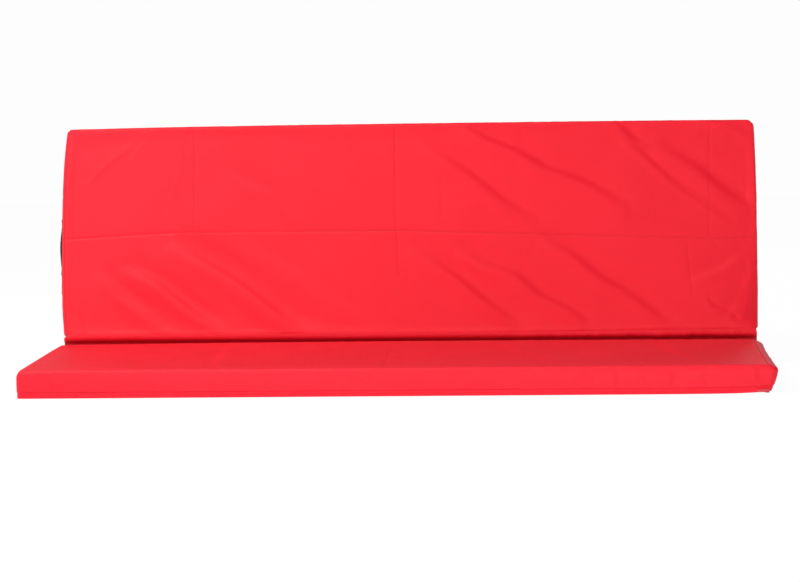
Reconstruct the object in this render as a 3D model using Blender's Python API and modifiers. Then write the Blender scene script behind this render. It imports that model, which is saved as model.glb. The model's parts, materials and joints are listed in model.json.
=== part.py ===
"""Folding crash landing mat: two zipped foam panels joined by a cloth hinge strip.

Run with: blender --background --python part.py

Metres, +Z up. The lower panel lies flat on the floor with the origin under its middle. +X runs
along the mat's length. The other panel stands behind it, at +Y, turned up about the hinge line and
leaning back. Both panels are made by the same function in the mat's opened-out position, hung from
an empty on the hinge line, and the empty of the raised panel is then turned.
"""

import math

import bmesh
import bpy

# Overall sizes
LENGTH = 1.840  # along X, over the end borders
PANEL_DEPTH = 0.562  # from the hinge edge of a panel to its far edge
THICKNESS = 0.072  # of one panel, from its base to its landing face
HALF_HINGE_GAP = 0.018  # from the hinge line to each panel's edge, with the mat opened out
HINGE_RISE = 0.004  # the hinge line's height over the landing faces, which leaves room to close
LEAN_BACK = math.radians(12.0)  # of the raised panel, from upright

# Cover
COVER = 0.0015  # coated cloth
BASE = 0.0018  # anti-slip base cloth
FIT = 0.0003  # left between pieces that touch
FOAM_INSET = 0.0022  # from the outer planes of the borders
FOAM_ROUNDING = 0.006

# Zip, in the lower edge of the far border and round both its corners
ZIP_LEG = 0.100  # along each end border
TAPE = 0.0012
LOWER_TAPE_TOP = 0.0055
COIL_BOTTOM, COIL_TOP = 0.0058, 0.0102
UPPER_TAPE_BOTTOM, UPPER_TAPE_TOP = 0.0105, 0.0150
COIL_PROUD = 0.0007
COIL_BEHIND = 0.0014
TAPE_TAIL = 0.012  # of tape past each end of the coil
STOP_LENGTH = 0.004

# Zip slider and its pull, from the plane of the tapes outwards
SLIDER_LENGTH, SLIDER_WIDTH = 0.011, 0.0094
SLIDER_PLATE = (0.0014, 0.0030)
SLIDER_FLANGE = (0.0004, 0.0020)
FLANGE_WIDTH = 0.0011
LUG_LENGTH, LUG_WIDTH, LUG_TOP = 0.0030, 0.0009, 0.0064
PIN_HEIGHT, PIN_RADIUS = 0.0051, 0.0006
KNUCKLE_RADIUS, KNUCKLE_BORE = 0.0016, 0.0009
PULL_LENGTH, PULL_WIDTH, PULL_THICKNESS = 0.024, 0.0066, 0.0012
SLIDER_PARKED = 0.022  # from the end border's plane to the middle of the closed slider

# Carry handles of webbing, one in the left end border of each panel
HANDLE_MIDDLE = 0.43 * PANEL_DEPTH  # from the hinge edge
WEBBING_WIDTH, WEBBING = 0.038, 0.002
GRIP_WIDTH, GRIP = 0.019, 0.004  # the webbing folded double
GRIP_SPAN = 0.140
TAB_FLAT, TAB_RISE = 0.045, 0.014
SWING_HEIGHT = 0.0070  # of the swing axis over the end border
GRIP_PEAK = 0.0140  # of the middle of the grip over the end border

HINGE_Y = PANEL_DEPTH / 2 + HALF_HINGE_GAP
HINGE_Z = THICKNESS + HINGE_RISE
END = LENGTH / 2

RED = (0.85, 0.035, 0.055, 1.0)
DEEP_RED = (0.55, 0.02, 0.035, 1.0)
BLACK = (0.012, 0.012, 0.013, 1.0)
FOAM_GREY = (0.32, 0.33, 0.35, 1.0)
METAL_RED = (0.55, 0.008, 0.018, 1.0)


def clear_scene():
    for obj in list(bpy.data.objects):
        bpy.data.objects.remove(obj, do_unlink=True)


def make_collection(name):
    found = bpy.data.collections.new(name)
    bpy.context.scene.collection.children.link(found)
    return found


def make_material(name, colour, roughness, metallic=0.0):
    made = bpy.data.materials.new(name)
    made.use_nodes = True
    shader = made.node_tree.nodes["Principled BSDF"]
    shader.inputs["Base Color"].default_value = colour
    shader.inputs["Roughness"].default_value = roughness
    shader.inputs["Metallic"].default_value = metallic
    made.diffuse_color = colour
    return made


def make_node(name, data, place, look, hung_from):
    """A visible object of the mat, with a material of its own, hung from an empty."""
    obj = bpy.data.objects.new(name, data)
    mat_collection.objects.link(obj)
    obj.location = place
    obj.parent = hung_from
    data.materials.append(make_material(name, *look))
    return obj


def box_mesh(name, size):
    shape = bmesh.new()
    bmesh.ops.create_cube(shape, size=1.0)
    bmesh.ops.scale(shape, vec=size, verts=shape.verts)
    mesh = bpy.data.meshes.new(name)
    shape.to_mesh(mesh)
    shape.free()
    return mesh


def box(name, low, high, look, hung_from):
    size = [top - bottom for bottom, top in zip(low, high)]
    middle = [(top + bottom) / 2 for bottom, top in zip(low, high)]
    return make_node(name, box_mesh(name, size), middle, look, hung_from)


def outline_curve(name, outlines, thickness):
    """A flat outline, with any holes as further outlines, extruded to both sides of its plane."""
    curve = bpy.data.curves.new(name, "CURVE")
    curve.dimensions = "2D"
    curve.fill_mode = "BOTH"
    curve.extrude = thickness / 2
    for points in outlines:
        spline = curve.splines.new("POLY")
        spline.points.add(len(points) - 1)
        for point, (x, y) in zip(spline.points, points):
            point.co = (x, y, 0.0, 1.0)
        spline.use_cyclic_u = True
    return curve


def arc(radius, start, end, count):
    """Points along an arc about the origin, with the angles in degrees."""
    steps = (start + (end - start) * i / count for i in range(count + 1))
    return [(radius * math.cos(math.radians(a)), radius * math.sin(math.radians(a))) for a in steps]


def smooth_rise(along):
    """0 to 1 as along goes from 0 to 1, level at both ends."""
    return along * along * (3 - 2 * along)


def band_outline(centre_line, thickness):
    """The outline of a strip of even thickness whose middle runs through these points."""
    upper = [(x, y + thickness / 2) for x, y in centre_line]
    lower = [(x, y - thickness / 2) for x, y in reversed(centre_line)]
    return upper + lower


def join_shapes(name, first, others):
    """Unites the meshes of helper objects with the first object, and keeps them as cutters."""
    for count, other in enumerate(others):
        other.parent = first.parent
        union = first.modifiers.new(f"{name} union {count}", "BOOLEAN")
        union.operation = "UNION"
        union.object = other


def helper(name, data, place, hung_from):
    """A shape that joins another one, hidden in renders."""
    obj = bpy.data.objects.new(name, data)
    cutter_collection.objects.link(obj)
    obj.location = place
    obj.parent = hung_from
    obj.hide_render = True
    obj.display_type = "WIRE"
    return obj


def cylinder_mesh(name, radius, length, sides=16):
    shape = bmesh.new()
    bmesh.ops.create_cone(
        shape, cap_ends=True, segments=sides, radius1=radius, radius2=radius, depth=length
    )
    mesh = bpy.data.meshes.new(name)
    shape.to_mesh(mesh)
    shape.free()
    mesh.shade_smooth()
    mesh.set_sharp_from_angle(angle=math.radians(40))
    return mesh


class Panel:
    """Where things are on one panel of the opened-out mat, measured from the hinge line."""

    def __init__(self, name, side):
        self.name = name
        self.side = side  # -1 for the panel at -Y, +1 for the panel at +Y
        self.empty = bpy.data.objects.new(f"{name}_hinge_axis", None)
        self.empty.empty_display_size = 0.1
        mat_collection.objects.link(self.empty)
        self.empty.location = (0, HINGE_Y, HINGE_Z)

    def y(self, depth):
        """At this depth from the panel's hinge edge."""
        return self.side * (HALF_HINGE_GAP + depth)

    @staticmethod
    def z(height):
        """At this height over the base of the panel."""
        return height - HINGE_Z

    def slab(self, piece, x_span, depth_span, height_span, look):
        y_span = sorted(self.y(depth) for depth in depth_span)
        low = (x_span[0], y_span[0], self.z(height_span[0]))
        high = (x_span[1], y_span[1], self.z(height_span[1]))
        return box(f"{self.name}_{piece}", low, high, look, self.empty)


def make_foam(panel):
    inner_end = END - FOAM_INSET
    foam = panel.slab(
        "foam_core",
        (-inner_end, inner_end),
        (FOAM_INSET, PANEL_DEPTH - FOAM_INSET),
        (BASE + FIT, THICKNESS - COVER - FIT),
        (FOAM_GREY, 0.95),
    )
    rounding = foam.modifiers.new("soft edges", "BEVEL")
    rounding.width = FOAM_ROUNDING
    rounding.segments = 3


def make_sheets(panel):
    whole = (0.0, PANEL_DEPTH)
    landing_span = (THICKNESS - COVER, THICKNESS)
    panel.slab("landing_sheet", (-END, END), whole, landing_span, (RED, 0.5))
    panel.slab("base_sheet", (-END, END), whole, (0.0, BASE), (BLACK, 0.75))


def make_long_borders(panel):
    """The far and hinge borders, which run between the end borders."""
    inner_end = END - COVER - FIT
    top = THICKNESS - COVER - FIT
    far_span = (PANEL_DEPTH - COVER, PANEL_DEPTH)
    far_heights = (UPPER_TAPE_TOP + FIT, top)
    panel.slab("far_border", (-inner_end, inner_end), far_span, far_heights, (RED, 0.5))
    hinge_heights = (BASE + FIT, top)
    panel.slab("hinge_border", (-inner_end, inner_end), (0.0, COVER), hinge_heights, (RED, 0.5))


def make_end_border(panel, piece, end):
    """The border at one end, with a notch at its lower far corner for the zip's leg."""
    bottom = panel.z(BASE + FIT)
    notch_top = panel.z(UPPER_TAPE_TOP + FIT)
    top = panel.z(THICKNESS - COVER - FIT)
    notch = panel.y(PANEL_DEPTH - ZIP_LEG - TAPE_TAIL - FIT)
    hinge_edge, far_edge = panel.y(0.0), panel.y(PANEL_DEPTH)
    outline = [
        (hinge_edge, bottom),
        (notch, bottom),
        (notch, notch_top),
        (far_edge, notch_top),
        (far_edge, top),
        (hinge_edge, top),
    ]
    name = f"{panel.name}_{piece}"
    curve = outline_curve(name, [outline], COVER)
    middle = end * (END - COVER / 2)
    border = make_node(name, curve, (middle, 0, 0), (RED, 0.5), panel.empty)
    border.rotation_euler = (math.pi / 2, 0, math.pi / 2)


def make_zip_band(panel, piece, heights, outward, behind, leg, look):
    """A band along the far edge and round both corners, square at the corners like the cover."""
    outer_x = END + outward
    inner_x = END - behind
    outer_y = panel.y(PANEL_DEPTH + outward)
    inner_y = panel.y(PANEL_DEPTH - behind)
    leg_y = panel.y(PANEL_DEPTH - leg)
    outline = [
        (-outer_x, leg_y),
        (-inner_x, leg_y),
        (-inner_x, inner_y),
        (inner_x, inner_y),
        (inner_x, leg_y),
        (outer_x, leg_y),
        (outer_x, outer_y),
        (-outer_x, outer_y),
    ]
    name = f"{panel.name}_{piece}"
    low, high = heights
    curve = outline_curve(name, [outline], high - low)
    make_node(name, curve, (0, 0, panel.z((low + high) / 2)), look, panel.empty)


def make_zip(panel):
    lower_tape = (BASE + FIT, LOWER_TAPE_TOP)
    upper_tape = (UPPER_TAPE_BOTTOM, UPPER_TAPE_TOP)
    tape_leg = ZIP_LEG + TAPE_TAIL
    make_zip_band(panel, "zip_tape_lower", lower_tape, 0.0, TAPE, tape_leg, (DEEP_RED, 0.8))
    make_zip_band(panel, "zip_tape_upper", upper_tape, 0.0, TAPE, tape_leg, (DEEP_RED, 0.8))
    coil = (COIL_BOTTOM, COIL_TOP)
    make_zip_band(panel, "zip_coil", coil, COIL_PROUD, COIL_BEHIND, ZIP_LEG, (DEEP_RED, 0.45))
    stop_depths = (PANEL_DEPTH - ZIP_LEG - FIT - STOP_LENGTH, PANEL_DEPTH - ZIP_LEG - FIT)
    for piece, end in (("zip_stop_left", -1), ("zip_stop_right", 1)):
        x_span = sorted((end * (END - COIL_BEHIND), end * (END + COIL_PROUD)))
        panel.slab(piece, x_span, stop_depths, coil, (METAL_RED, 0.35, 0.9))


def make_slider(panel):
    """A plate with side flanges over the coil, and two lugs with a pin across them."""
    name = f"{panel.name}_zip_slider"
    middle_x = END - SLIDER_PARKED
    middle_z = panel.z((COIL_BOTTOM + COIL_TOP) / 2)

    def part(x_size, z_size, out_span, z_offset=0.0):
        """One box of the slider: its mesh and its place."""
        out_middle = sum(out_span) / 2
        mesh = box_mesh(name, (x_size, out_span[1] - out_span[0], z_size))
        return mesh, (middle_x, panel.y(PANEL_DEPTH + out_middle), middle_z + z_offset)

    mesh, place = part(SLIDER_LENGTH, SLIDER_WIDTH, SLIDER_PLATE)
    slider = make_node(name, mesh, place, (METAL_RED, 0.35, 0.9), panel.empty)
    joined = []
    for edge in (-1, 1):
        flange_z = edge * (SLIDER_WIDTH - FLANGE_WIDTH) / 2
        mesh, place = part(SLIDER_LENGTH, FLANGE_WIDTH, SLIDER_FLANGE, flange_z)
        joined.append(helper(f"{name} flange {edge}", mesh, place, panel.empty))
        lug_z = edge * (SLIDER_WIDTH - LUG_WIDTH) / 2
        mesh, place = part(LUG_LENGTH, LUG_WIDTH, (SLIDER_PLATE[0], LUG_TOP), lug_z)
        joined.append(helper(f"{name} lug {edge}", mesh, place, panel.empty))
    pin = cylinder_mesh(f"{name} pin", PIN_RADIUS, SLIDER_WIDTH - LUG_WIDTH)
    pin_place = (middle_x, panel.y(PANEL_DEPTH + PIN_HEIGHT), middle_z)
    joined.append(helper(f"{name} pin", pin, pin_place, panel.empty))
    join_shapes(name, slider, joined)
    return pin_place


def make_pull(panel, pin_place):
    """A flat tab with a rolled knuckle round the slider's pin. Its origin is on the pin's axis."""
    name = f"{panel.name}_zip_pull"
    half_tab = PULL_THICKNESS / 2
    tab_meets = math.degrees(math.asin(half_tab / KNUCKLE_RADIUS))
    knuckle = arc(KNUCKLE_RADIUS, -180 + tab_meets, 180 - tab_meets, 16)
    tab = [(-PULL_LENGTH, half_tab), (-PULL_LENGTH, -half_tab)]
    bore = arc(KNUCKLE_BORE, 0, 360, 16)[:-1]
    curve = outline_curve(name, [knuckle + tab, bore], PULL_WIDTH)
    make_node(name, curve, pin_place, (METAL_RED, 0.35, 0.9), panel.empty)


def make_handle(panel):
    """Two sewn tabs of webbing and the doubled grip between them, on the left end border."""
    axis_y = panel.y(HANDLE_MIDDLE)
    middle_z = panel.z(THICKNESS / 2)
    look = (BLACK, 0.7)
    steps = 8
    half_span = GRIP_SPAN / 2
    rise = GRIP_PEAK - SWING_HEIGHT
    arch = []
    for i in range(2 * steps + 1):
        along = -half_span + GRIP_SPAN * i / (2 * steps)
        arch.append((along, rise * smooth_rise(1 - abs(along) / half_span)))
    grip_name = f"{panel.name}_handle_grip"
    curve = outline_curve(grip_name, [band_outline(arch, GRIP)], GRIP_WIDTH)
    swing_axis = (-END - SWING_HEIGHT, axis_y, middle_z)
    grip = make_node(grip_name, curve, swing_axis, look, panel.empty)
    grip.rotation_euler = (0, 0, math.pi / 2)

    resting = FIT + WEBBING / 2
    for piece, way in (("handle_tab_inner", -1), ("handle_tab_outer", 1)):
        inner = half_span + FIT
        line = [(inner + TAB_RISE + TAB_FLAT, resting)]
        for i in range(steps + 1):
            share = i / steps
            height = resting + (SWING_HEIGHT - resting) * smooth_rise(share)
            line.append((inner + TAB_RISE * (1 - share), height))
        points = [(way * panel.side * along, height) for along, height in line]
        name = f"{panel.name}_{piece}"
        curve = outline_curve(name, [band_outline(points, WEBBING)], WEBBING_WIDTH)
        tab = make_node(name, curve, (-END, axis_y, middle_z), look, panel.empty)
        tab.rotation_euler = (0, 0, math.pi / 2)


def make_panel(name, side, turn):
    panel = Panel(name, side)
    panel.empty.rotation_euler = (turn, 0, 0)
    make_foam(panel)
    make_sheets(panel)
    make_long_borders(panel)
    make_end_border(panel, "left_border", -1)
    make_end_border(panel, "right_border", 1)
    make_zip(panel)
    make_pull(panel, make_slider(panel))
    make_handle(panel)


def make_hinge_strip(turn):
    """The strip of cover cloth between the two landing faces, bent once along its middle."""
    half_turn = turn / 2
    cos_turn, sin_turn = math.cos(turn), math.sin(turn)

    def on_raised(y, z):
        """A point of the opened-out mat after the raised panel's turn."""
        return (y * cos_turn - z * sin_turn, y * sin_turn + z * cos_turn)

    face = -HINGE_RISE
    under = face - COVER
    edge = HALF_HINGE_GAP - FIT
    outline = [
        (-edge, face),
        (-edge, under),
        (-under * math.tan(half_turn), under),
        on_raised(edge, under),
        on_raised(edge, face),
        (-face * math.tan(half_turn), face),
    ]
    curve = outline_curve("hinge_strip", [outline], LENGTH)
    strip = make_node("hinge_strip", curve, (0, HINGE_Y, HINGE_Z), (RED, 0.5), None)
    strip.rotation_euler = (math.pi / 2, 0, math.pi / 2)


clear_scene()
mat_collection = make_collection("crash landing mat")
cutter_collection = make_collection("cutters")
raised_turn = math.pi / 2 - LEAN_BACK
make_panel("flat", -1, 0.0)
make_panel("raised", 1, raised_turn)
make_hinge_strip(raised_turn)
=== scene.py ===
"""Looks of the folding crash landing mat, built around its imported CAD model.

Metres, in the frame of the CAD: +X along the mat, +Y from the flat panel's front to the hinge, +Z up.
Every cover piece is laid out in panel coordinates, which are the same for both panels: x along the
mat, depth from the panel's hinge edge, and height over its base. A point on the cover is found from
its share (a, b) of the panel's half sizes and its height, so that the landing sheet, the borders,
the zip and the foam all follow one outline.
"""

import json
import math
from collections import namedtuple

import bmesh
import bpy
import numpy as np
from mathutils import Matrix, Vector, noise


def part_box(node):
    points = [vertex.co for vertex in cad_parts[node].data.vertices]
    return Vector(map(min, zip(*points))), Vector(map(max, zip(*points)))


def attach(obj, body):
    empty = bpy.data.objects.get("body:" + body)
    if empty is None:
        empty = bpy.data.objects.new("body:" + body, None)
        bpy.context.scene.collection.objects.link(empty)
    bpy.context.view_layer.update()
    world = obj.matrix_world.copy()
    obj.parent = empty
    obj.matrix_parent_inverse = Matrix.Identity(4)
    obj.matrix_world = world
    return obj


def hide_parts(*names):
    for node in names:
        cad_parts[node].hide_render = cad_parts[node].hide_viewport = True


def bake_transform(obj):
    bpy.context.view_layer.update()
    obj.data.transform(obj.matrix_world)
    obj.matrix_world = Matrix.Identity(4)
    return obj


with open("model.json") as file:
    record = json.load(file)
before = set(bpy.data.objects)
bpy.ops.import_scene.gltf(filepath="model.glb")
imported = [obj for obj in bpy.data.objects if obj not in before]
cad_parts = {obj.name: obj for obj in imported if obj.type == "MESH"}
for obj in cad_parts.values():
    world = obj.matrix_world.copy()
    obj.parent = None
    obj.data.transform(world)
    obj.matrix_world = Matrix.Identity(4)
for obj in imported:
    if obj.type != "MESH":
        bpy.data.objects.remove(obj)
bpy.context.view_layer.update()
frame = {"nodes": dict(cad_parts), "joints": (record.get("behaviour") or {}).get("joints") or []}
scene = bpy.context.scene

# Sizes of the CAD model
sheet_low, sheet_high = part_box("flat_landing_sheet")
tab_low, tab_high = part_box("flat_handle_tab_inner")
grip_low, grip_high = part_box("flat_handle_grip")
tape_low, tape_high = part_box("flat_zip_tape_upper")
coil_low, coil_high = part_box("flat_zip_coil")
fold_hinge = next(joint for joint in frame["joints"] if joint["name"] == "fold_hinge")
HINGE = Vector(fold_hinge["pos_m"])
RAISED_TURN = -math.radians(fold_hinge["range_deg"][0])
END = sheet_high.x
DEPTH = sheet_high.y - sheet_low.y
HALF = (END, DEPTH / 2)
THICKNESS = sheet_high.z
HALF_GAP = HINGE.y - sheet_high.y
FIT = 0.0003  # the gap that touching meshes keep
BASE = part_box("flat_base_sheet")[1].z
OVER_BASE = BASE + FIT
ZIP_TOP = tape_high.z
OVER_ZIP = ZIP_TOP + FIT
ZIP_REACH = tape_high.y - tape_low.y
COIL_REACH = coil_high.y - sheet_low.y
COIL_HEIGHT = coil_high.z - coil_low.z
ZIP_MIDDLE = (coil_low.z + coil_high.z) / 2
HANDLE_DEPTH = HINGE.y - HALF_GAP - (grip_low.y + grip_high.y) / 2
GRIP_HALF = (grip_high.y - grip_low.y) / 2
TAB_END = GRIP_HALF + (tab_high.y - tab_low.y)
WEB_WIDTH = tab_high.z - tab_low.z

# The cover
CLOTH = 0.0011
SEAM_DROP = 0.0015  # of the landing seam below the landing face
SEAM = THICKNESS - SEAM_DROP
GRID = 0.0065  # spacing of the cover's grids
FINE = 0.002  # spacing across its creases
WEAR_REACH = 0.012  # how far the wear along a seam reaches
# How far in from its end seams, and from its long seams, a face has rolled up to its full height
LANDING_ROLLS = (0.024, 0.012)
FOAM_ROLLS = (0.03, 0.02)

# One side of a panel. seam and bottom are how far the landing seam and the bottom edge lie inside
# the CAD plane, bulge is how far the side stands out of it, at this drop below the seam, and the
# pulls are how far the side is drawn in at its two corners, the first towards the hinge edge or
# the left end.
Side = namedtuple("Side", "seam drop bulge bottom first_pull last_pull")
SIDES = {
    "flat": {
        "left": Side(0.007, 0.016, 0.000, 0.000, 0.002, 0.000),
        "right": Side(0.020, 0.014, 0.002, 0.013, -0.005, -0.002),
        "hinge": Side(-0.003, 0.010, 0.000, 0.002, 0.000, 0.000),
        "far": Side(0.004, 0.012, 0.000, 0.001, 0.000, 0.001),
    },
    "raised": {
        "left": Side(0.007, 0.014, 0.001, 0.001, 0.010, 0.012),
        "right": Side(0.004, 0.014, -0.001, 0.002, 0.002, 0.005),
        "hinge": Side(0.003, 0.010, 0.000, 0.002, 0.000, 0.006),
        "far": Side(0.002, 0.012, 0.000, 0.001, 0.005, 0.002),
    },
}
SHOULDER_POWER = 1.6  # 1 is a straight slope from the widest place up to the seam
SKIRT_POWER = 1.4  # the same down to the bottom edge
PULL_POWER = 3  # how far out towards the corners the pull of a side is kept
CORNER_RADIUS = {  # by the signs of a and b
    "flat": {(-1, -1): 0.005, (1, -1): 0.004, (-1, 1): 0.009, (1, 1): 0.010},
    "raised": {(-1, -1): 0.009, (1, -1): 0.009, (-1, 1): 0.008, (1, 1): 0.016},
}
CROWN = {"flat": 0.0020, "raised": 0.0002}
CROWN_POWER = 2.5
# How much thicker a panel is half way along its length, at its hinge edge and at its far edge
FULLNESS = {"flat": (0.0045, -0.0015), "raised": (0.0, 0.0)}
# Where an end is rounded down: its end of the mat, how far from it, by how much at the hinge edge
# and at the far edge, and how quickly that changes between them
Slump = namedtuple("Slump", "end reach near far power")
SLUMPS = {
    "flat": [Slump(-1, 0.016, 0.000, 0.004, 1)],
    "raised": [Slump(1, 0.042, 0.034, 0.000, 3), Slump(-1, 0.015, 0.004, 0.000, 3)],
}
HELD_BY_STRIP = 0.030  # how far from the hinge edge the strip still keeps an end from slumping
CURL = {"flat": 0.008, "raised": 0.0}  # how far the bottom of the right end is drawn up
CURL_REACH = 0.05

# A fold runs between two points of its surface and fades towards both. A step has a ridge on its
# right and a hollow on its left, each its width away from the line. A ridge is highest on the
# line, and its width is where it has fallen to 0.6 of that.
Fold = namedtuple("Fold", "start end height width kind", defaults=["step"])
FOLD_STRENGTH = 2.4  # how much higher the folds are made than these lists say
FOLD_LIMIT = 0.0055  # the most that folds on each other can add up to

# (x, depth) on the landing face of the raised panel
RAISED_FOLDS = [
    Fold((-0.590, 0.240), (-0.280, 0.025), 0.0034, 0.023),
    Fold((-0.725, 0.180), (-0.505, 0.030), 0.0024, 0.017),
    Fold((-0.805, 0.160), (-0.640, 0.010), 0.0014, 0.016),
    Fold((-0.445, 0.430), (-0.300, 0.320), 0.0008, 0.014),
    Fold((-0.410, 0.235), (-0.115, 0.050), 0.0006, 0.018),
    Fold((0.150, 0.560), (0.360, 0.445), 0.0024, 0.017),
    Fold((0.330, 0.465), (0.575, 0.345), 0.0022, 0.018),
    Fold((0.070, 0.490), (0.345, 0.295), 0.0018, 0.016),
    Fold((0.540, 0.560), (0.630, 0.500), 0.0018, 0.014),
    Fold((0.575, 0.505), (0.830, 0.295), 0.0010, 0.006),
    Fold((0.590, 0.505), (0.835, 0.305), 0.0008, 0.005),
    Fold((0.690, 0.485), (0.905, 0.330), 0.0022, 0.019),
    Fold((0.790, 0.565), (0.905, 0.510), 0.0016, 0.009, "ridge"),
    Fold((0.375, 0.245), (0.560, 0.120), 0.0022, 0.017),
    Fold((0.520, 0.140), (0.690, 0.030), 0.0018, 0.015),
    Fold((0.150, 0.220), (0.330, 0.130), 0.0019, 0.017),
    Fold((0.300, 0.140), (0.470, 0.030), 0.0021, 0.014),
    Fold((0.040, 0.220), (0.290, 0.030), 0.0014, 0.017),
    Fold((0.095, 0.170), (0.280, 0.035), 0.0011, 0.014),
    Fold((0.745, 0.130), (0.905, 0.215), 0.0007, 0.011),
    Fold((0.790, 0.080), (0.870, 0.025), 0.0011, 0.007),
    Fold((0.830, 0.030), (0.905, 0.085), 0.0012, 0.006, "ridge"),
    Fold((0.865, 0.035), (0.910, 0.070), 0.0012, 0.010, "ridge"),
    Fold((-0.670, 0.555), (-0.750, 0.450), 0.0002, 0.004, "ridge"),
    Fold((-0.695, 0.555), (-0.880, 0.385), 0.0003, 0.004, "ridge"),
    Fold((-0.590, 0.555), (-0.635, 0.310), 0.0003, 0.004, "ridge"),
    Fold((-0.890, 0.105), (-0.845, 0.010), 0.0008, 0.006),
]
FLAT_FOLDS = [
    Fold((-0.470, 0.000), (-0.440, 0.575), 0.0007, 0.018),
    Fold((0.250, 0.120), (0.420, 0.560), 0.0006, 0.022),
    Fold((0.640, 0.030), (0.720, 0.400), 0.0008, 0.020),
]
# (x, height) on the far border of the flat panel
FRONT_FOLDS = [
    Fold((-0.840, 0.066), (-0.820, 0.022), 0.0018, 0.0040, "ridge"),
    Fold((-0.900, 0.048), (-0.880, 0.012), 0.0016, 0.005, "ridge"),
    Fold((-0.870, 0.060), (-0.860, 0.030), 0.0005, 0.006),
    Fold((-0.395, 0.064), (-0.390, 0.020), 0.0004, 0.008),
    Fold((-0.110, 0.060), (-0.100, 0.018), 0.0005, 0.009),
    Fold((-0.060, 0.060), (-0.055, 0.018), 0.0005, 0.008),
    Fold((0.465, 0.060), (0.475, 0.016), 0.0006, 0.009),
    Fold((0.530, 0.062), (0.540, 0.014), 0.0007, 0.009),
    Fold((0.600, 0.058), (0.610, 0.018), 0.0006, 0.010),
    Fold((0.670, 0.062), (0.670, 0.020), 0.0007, 0.009),
    Fold((0.740, 0.060), (0.750, 0.016), 0.0006, 0.009),
    Fold((0.870, 0.062), (0.880, 0.030), 0.0007, 0.005),
]
# Where the mat was folded in its packing: lines of points along each sharp crease
Crease = namedtuple("Crease", "points depth")
CREASE_STRENGTH = 1.6  # how much deeper the creases are made than these lists say
CREASE_WIDTH = 0.0022
DARKEST_CREASE = 0.0007  # the depth in these lists at which a crease has its full painted shade
RAISED_CREASES = [
    Crease([(-0.920, 0.260), (-0.615, 0.275), (-0.035, 0.275)], 0.0008),
    Crease([(-0.035, 0.275), (0.380, 0.260), (0.820, 0.245), (0.920, 0.250)], 0.0007),
    Crease([(-0.565, 0.265), (-0.565, 0.560)], 0.0005),
    Crease([(-0.030, 0.550), (-0.030, 0.320), (-0.020, 0.155)], 0.0005),
    Crease([(-0.305, 0.550), (-0.305, 0.390)], 0.0003),
    Crease([(0.085, 0.550), (0.090, 0.290)], 0.0002),
    Crease([(0.800, 0.540), (0.795, 0.260), (0.815, 0.225)], 0.0004),
    Crease([(0.735, 0.230), (0.750, 0.090)], 0.0004),
]
FLAT_CREASES = [
    Crease([(-0.565, 0.020), (-0.565, 0.550)], 0.0004),
    Crease([(-0.030, 0.020), (-0.025, 0.550)], 0.0004),
]
# The bands of x, and of depth from the panel's middle, that need the fine spacing
FLAT_FINE_X = [(-0.574, -0.556), (-0.040, -0.014)]
RAISED_FINE_X = FLAT_FINE_X + [(0.732, 0.756), (0.792, 0.820)]
RAISED_FINE_DEPTH = [(0.240 - DEPTH / 2, 0.280 - DEPTH / 2)]


# Studio: the camera at the photograph's viewing angle, and plain soft light

CAMERA_PLACE = Vector((0.428, -6.781, 0.807))
CAMERA_YAW = math.radians(-3.59)
CAMERA_DOWN = math.radians(4.84)
CAMERA_ROLL = math.radians(-0.85)
CAMERA_LENS = 122.1
WHITE = (1, 1, 1, 1)
WARM = (1.0, 0.985, 0.97)
COOL = (0.88, 0.95, 1.0)
MAT_MIDDLE = (0, 0.2, 0.3)
WORLD_LIGHT = 0.32
WORLD_SEEN = 0.985
FLOOR_GLOW = 0.955
FLOOR_HALF = 9.0
FLOOR_HEIGHT = -0.0004


def make_camera():
    turned = Matrix.Rotation(-CAMERA_YAW, 4, "Z")
    level = Matrix.Rotation(math.pi / 2 - CAMERA_DOWN, 4, "X")
    rolled = Matrix.Rotation(CAMERA_ROLL, 4, "Z")
    camera = bpy.data.objects.new("camera", bpy.data.cameras.new("camera"))
    scene.collection.objects.link(camera)
    camera.matrix_world = Matrix.Translation(CAMERA_PLACE) @ turned @ level @ rolled
    camera.data.lens = CAMERA_LENS
    camera.data.dof.use_dof = False
    scene.camera = camera


def make_world():
    """White behind the mat, and a dimmer even light on it."""
    world = bpy.data.worlds.new("studio")
    scene.world = world
    world.use_nodes = True
    tree = world.node_tree
    tree.nodes.clear()
    out = tree.nodes.new("ShaderNodeOutputWorld")
    mix = tree.nodes.new("ShaderNodeMixShader")
    path = tree.nodes.new("ShaderNodeLightPath")
    tree.links.new(path.outputs["Is Camera Ray"], mix.inputs["Fac"])
    for socket, strength in ((1, WORLD_LIGHT), (2, WORLD_SEEN)):
        background = tree.nodes.new("ShaderNodeBackground")
        background.inputs["Color"].default_value = WHITE
        background.inputs["Strength"].default_value = strength
        tree.links.new(background.outputs[0], mix.inputs[socket])
    tree.links.new(mix.outputs[0], out.inputs["Surface"])


def make_light(name, place, target, power, colour, width, height=None):
    """A rectangular lamp that looks at its target. It is square unless it has a height."""
    lamp = bpy.data.lights.new(name, "AREA")
    lamp.shape = "RECTANGLE"
    lamp.size = width
    lamp.size_y = height or width
    lamp.energy = power
    lamp.color = colour
    obj = bpy.data.objects.new(name, lamp)
    scene.collection.objects.link(obj)
    obj.location = place
    obj.rotation_euler = (Vector(target) - Vector(place)).to_track_quat("-Z", "Y").to_euler()
    obj.visible_camera = False


def make_lights():
    make_light("key", (-2.4, -2.9, 3.9), MAT_MIDDLE, 178, WARM, 1.8)
    make_light("side", (-2.2, -0.3, 1.6), (-0.7, 0.1, 0.05), 14, WARM, 0.8)
    make_light("fill", (1.0, -4.4, 2.2), MAT_MIDDLE, 24, COOL, 2.8)
    make_light("bounce", (0, -1.2, 0.05), (0, -0.28, 0.03), 5, COOL, 2.6, 0.08)
    make_light("back", (0.6, 4.2, 2.6), MAT_MIDDLE, 24, COOL, 2.6)


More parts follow.
